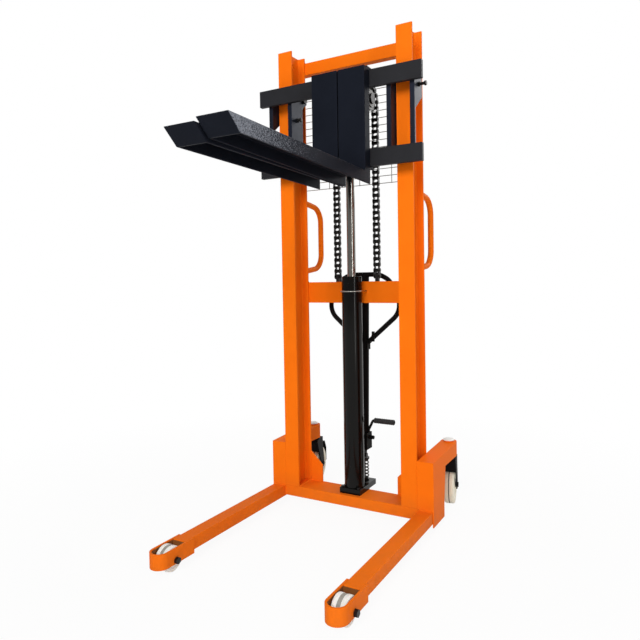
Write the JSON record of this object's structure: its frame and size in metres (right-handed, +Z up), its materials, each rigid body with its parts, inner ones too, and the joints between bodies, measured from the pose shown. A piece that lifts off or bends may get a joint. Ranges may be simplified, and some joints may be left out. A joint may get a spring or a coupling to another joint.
{
  "type": "hand pallet stacker",
  "caption": "Hand pallet stacker: two orange masts on straddle legs, chain-lifted adjustable forks, a tiller and pedal pump, and braked castors.",
  "frame": {"origin": "on the floor below the middle of the bounding box", "axes": "+X to the right seen from behind the forks' tips looking at the masts, -Y towards the fork tips, +Z up"},
  "size_m": [0.815, 1.464, 2.0715],
  "materials": {
    "orange_paint": "gloss",
    "plated_steel": "satin",
    "black_bolts": "oiled",
    "white_plastic": "gloss",
    "mesh_wire": "satin",
    "black_gloss_paint": "gloss",
    "chain_steel": "oiled",
    "spring_steel": "satin",
    "rod_chrome": "polished",
    "machined_steel": "machined",
    "black_satin_paint": "satin",
    "castor_black": "satin",
    "white_nylon": "matte",
    "cream_nylon": "matte",
    "tiller_black": "satin",
    "grip_rubber": "matte"
  },
  "bodies": {
    "frame": {"mast_left": "orange_paint", "mast_right": "orange_paint", "top_crossbeam": "orange_paint", "middle_crossbeam": "orange_paint", "base_crossmember": "orange_paint", "base_gussets": "orange_paint", "straddle_legs": "orange_paint", "nose_straps": "orange_paint", "front_axles": "black_bolts", "castor_bracket_left": "orange_paint", "castor_bracket_right": "orange_paint", "kingpin_caps": "white_plastic", "mesh_guard": "mesh_wire", "mesh_stays": "mesh_wire", "push_handles": "orange_paint", "cylinder_foot": "black_gloss_paint", "foot_bolts": "black_bolts", "cylinder_barrel": "black_gloss_paint", "gland_nut": "black_gloss_paint", "rocker_pin": "black_bolts", "cylinder_clamp": "plated_steel", "chain_lugs": "black_bolts", "rear_chains": "chain_steel", "pump_body": "black_gloss_paint", "pump_spring": "spring_steel"},
    "ram": {"piston_rod": "rod_chrome", "piston_head": "black_gloss_paint", "crosshead": "black_gloss_paint", "sheave_axle": "black_bolts", "sheave_chains": "chain_steel"},
    "sheave_left": {"sheave_left": "machined_steel"},
    "sheave_right": {"sheave_right": "machined_steel"},
    "carriage": {"carriage_bar_upper": "black_satin_paint", "carriage_bar_lower": "black_satin_paint", "inner_carriage_plates": "black_satin_paint", "outer_carriage_plates": "black_satin_paint", "roller_axles": "black_bolts", "guide_bolts": "black_bolts", "chain_anchors": "black_satin_paint", "front_chains": "chain_steel"},
    "roller_lower_left": {"mast_roller_lower_left": "machined_steel"},
    "roller_lower_right": {"mast_roller_lower_right": "machined_steel"},
    "roller_upper_left": {"mast_roller_upper_left": "machined_steel"},
    "roller_upper_right": {"mast_roller_upper_right": "machined_steel"},
    "fork_left": {"fork_left": "black_satin_paint"},
    "fork_right": {"fork_right": "black_satin_paint"},
    "front_wheel_left": {"front_wheel_left": "white_nylon"},
    "front_wheel_right": {"front_wheel_right": "white_nylon"},
    "castor_left": {"castor_yoke_left": "castor_black"},
    "castor_right": {"castor_yoke_right": "castor_black"},
    "castor_wheel_left": {"castor_wheel_left": "cream_nylon"},
    "castor_wheel_right": {"castor_wheel_right": "cream_nylon"},
    "brake_left": {"brake_pedal_left": "castor_black"},
    "brake_right": {"brake_pedal_right": "castor_black"},
    "tiller": {"rocker": "tiller_black", "pedal_grip": "grip_rubber", "tiller_handle": "tiller_black"},
    "release_lever": {"release_lever": "tiller_black"},
    "plunger": {"pump_plunger": "spring_steel"}
  },
  "joints": [
    {"name": "ram_lift", "type": "slide", "parent": "frame", "child": "ram", "axis": [0, 0, 1], "range_m": [-0.7, 0], "deforming": ["rear_chains"]},
    {"name": "carriage_lift", "type": "slide", "parent": "ram", "child": "carriage", "axis": [0, 0, 1], "range_m": [-0.7, 0], "deforming": ["front_chains"]},
    {"name": "sheave_left_spin", "type": "hinge", "parent": "ram", "child": "sheave_left", "pos_m": [-0.098, 0.322, 1.8175], "axis": [1, 0, 0], "range_deg": [0, 704]},
    {"name": "sheave_right_spin", "type": "hinge", "parent": "ram", "child": "sheave_right", "pos_m": [0.098, 0.322, 1.8175], "axis": [1, 0, 0], "range_deg": [0, 704]},
    {"name": "roller_lower_left_spin", "type": "hinge", "parent": "carriage", "child": "roller_lower_left", "pos_m": [-0.264, 0.311, 1.5545], "axis": [1, 0, 0], "range_deg": [0, 1606]},
    {"name": "roller_lower_right_spin", "type": "hinge", "parent": "carriage", "child": "roller_lower_right", "pos_m": [0.264, 0.311, 1.5545], "axis": [1, 0, 0], "range_deg": [0, 1606]},
    {"name": "roller_upper_left_spin", "type": "hinge", "parent": "carriage", "child": "roller_upper_left", "pos_m": [-0.264, 0.311, 1.8625], "axis": [1, 0, 0], "range_deg": [-1606, 0]},
    {"name": "roller_upper_right_spin", "type": "hinge", "parent": "carriage", "child": "roller_upper_right", "pos_m": [0.264, 0.311, 1.8625], "axis": [1, 0, 0], "range_deg": [-1606, 0]},
    {"name": "fork_left_slide", "type": "slide", "parent": "carriage", "child": "fork_left", "axis": [1, 0, 0], "range_m": [-0.22, 0]},
    {"name": "fork_right_slide", "type": "slide", "parent": "carriage", "child": "fork_right", "axis": [1, 0, 0], "range_m": [0, 0.14]},
    {"name": "front_wheel_left_spin", "type": "hinge", "parent": "frame", "child": "front_wheel_left", "pos_m": [-0.357, -0.476, 0.0455], "axis": [1, 0, 0], "continuous": true},
    {"name": "front_wheel_right_spin", "type": "hinge", "parent": "frame", "child": "front_wheel_right", "pos_m": [0.357, -0.476, 0.0455], "axis": [1, 0, 0], "continuous": true},
    {"name": "castor_left_swivel", "type": "hinge", "parent": "frame", "child": "castor_left", "pos_m": [-0.3565, 0.567, 0.27], "axis": [0, 0, 1], "continuous": true},
    {"name": "castor_wheel_left_spin", "type": "hinge", "parent": "castor_left", "child": "castor_wheel_left", "pos_m": [-0.36856, 0.62373, 0.086], "axis": [0.9781, 0.2079, 0], "continuous": true},
    {"name": "brake_left_press", "type": "hinge", "parent": "castor_left", "child": "brake_left", "pos_m": [-0.36565, 0.61004, 0.2022], "axis": [-0.9781, -0.2079, 0], "range_deg": [0, 4]},
    {"name": "castor_right_swivel", "type": "hinge", "parent": "frame", "child": "castor_right", "pos_m": [0.3565, 0.567, 0.27], "axis": [0, 0, 1], "continuous": true},
    {"name": "castor_wheel_right_spin", "type": "hinge", "parent": "castor_right", "child": "castor_wheel_right", "pos_m": [0.34444, 0.62373, 0.086], "axis": [0.9781, 0.2079, 0], "continuous": true},
    {"name": "brake_right_press", "type": "hinge", "parent": "castor_right", "child": "brake_right", "pos_m": [0.34735, 0.61004, 0.2022], "axis": [-0.9781, -0.2079, 0], "range_deg": [0, 4]},
    {"name": "tiller_pump", "type": "hinge", "parent": "frame", "child": "tiller", "pos_m": [0, 0.391, 0.2415], "axis": [-1, 0, 0], "range_deg": [0, 45], "stiffness_Nm_per_rad": 40, "springref_deg": -11.46},
    {"name": "release_pull", "type": "hinge", "parent": "tiller", "child": "release_lever", "pos_m": [0.052, 0.42705, 0.78009], "axis": [0, -0.9994, 0.0349], "range_deg": [0, 20], "stiffness_Nm_per_rad": 0.6, "springref_deg": -17.19},
    {"name": "plunger_stroke", "type": "slide", "parent": "frame", "child": "plunger", "axis": [0, 0, 1], "range_m": [-0.0198, 0], "deforming": ["pump_spring"]}
  ],
  "couplings": [
    {"joint": "carriage_lift", "follows": "ram_lift", "ratio": 1},
    {"joint": "sheave_left_spin", "follows": "ram_lift", "rad_per_m": -17.521},
    {"joint": "roller_lower_left_spin", "follows": "ram_lift", "rad_per_m": -40},
    {"joint": "roller_upper_left_spin", "follows": "ram_lift", "rad_per_m": 40},
    {"joint": "sheave_right_spin", "follows": "ram_lift", "rad_per_m": -17.521},
    {"joint": "roller_lower_right_spin", "follows": "ram_lift", "rad_per_m": -40},
    {"joint": "roller_upper_right_spin", "follows": "ram_lift", "rad_per_m": 40},
    {"joint": "plunger_stroke", "follows": "tiller_pump", "m_per_rad": -0.025}
  ]
}
